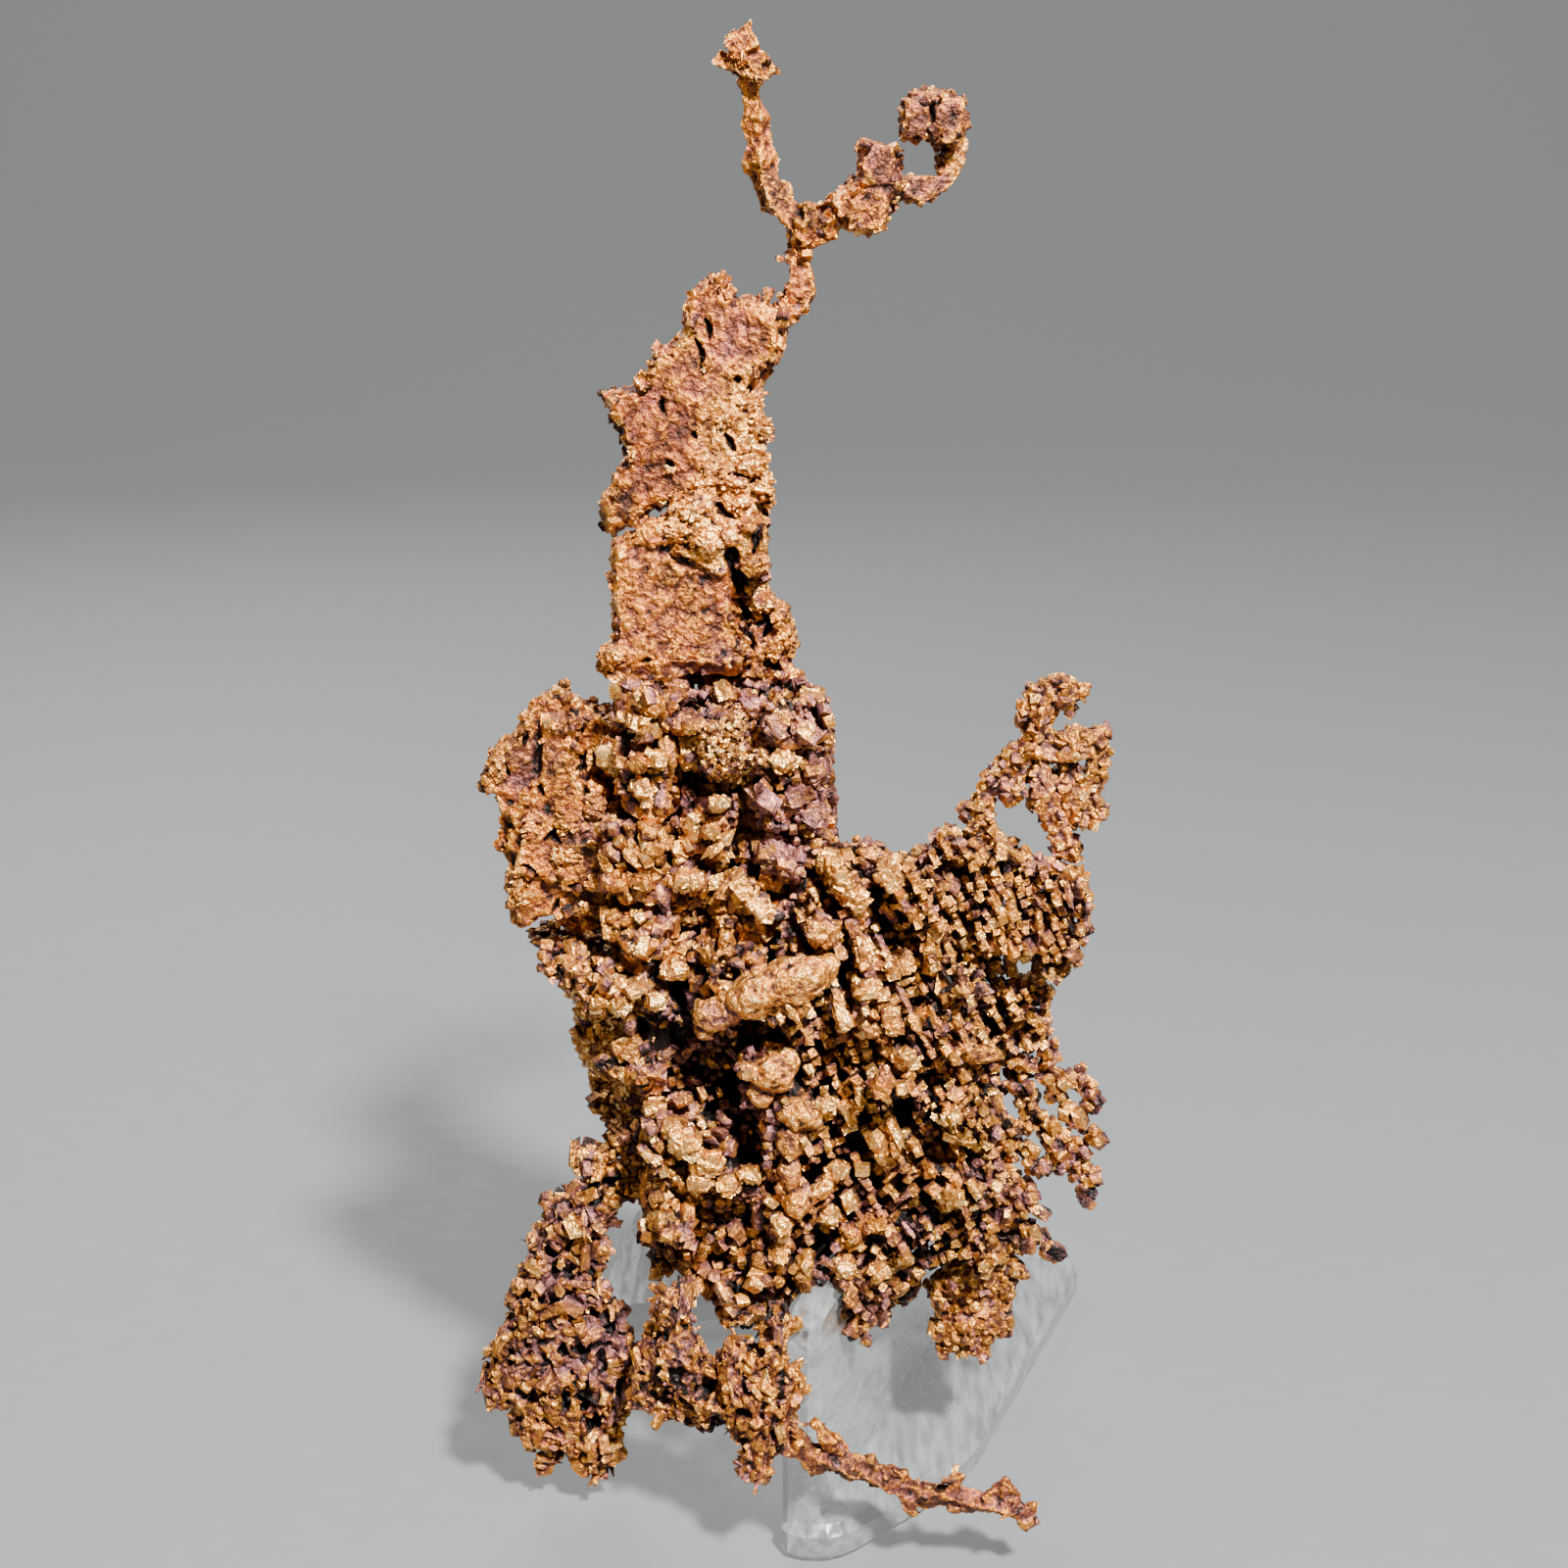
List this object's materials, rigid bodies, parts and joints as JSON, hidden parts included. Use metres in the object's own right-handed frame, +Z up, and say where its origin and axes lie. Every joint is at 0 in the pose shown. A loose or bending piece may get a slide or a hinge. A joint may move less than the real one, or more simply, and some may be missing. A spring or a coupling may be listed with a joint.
{
  "type": "mineral specimen on stand",
  "caption": "Branching native copper: a ragged tarnished crystal mass with a tall spire, horned twigs and hanging branches, on a clear acrylic stand.",
  "frame": {"origin": "On the flat underside of the stand's left foot, where it rests on the table", "axes": "+X to the right as seen from the front, +Y to the back, +Z up along the specimen's height"},
  "size_m": [0.0516, 0.0572, 0.1101],
  "materials": {
    "copper_spire": "native copper, orange-red and stippled, dull metallic",
    "copper_plate": "native copper plates, orange-tan with grey patches",
    "copper_crystal": "native copper crystals, gold-brown with purple tarnish in the hollows",
    "copper_hackly": "native copper, reddish brown, finely hackly",
    "clear_acrylic": "clear acrylic sheet with soft polished edges and light scratches"
  },
  "bodies": {
    "root": {"spire_blade": "copper_spire", "horn_twig": "copper_spire", "hook_twig": "copper_spire", "left_plates": "copper_plate", "crystal_body": "copper_crystal", "loop_arm": "copper_crystal", "corner_cluster": "copper_crystal", "lower_branch": "copper_hackly", "lower_bridge": "copper_hackly", "tail_twig": "copper_hackly", "acrylic_stand": "clear_acrylic"}
  },
  "joints": []
}
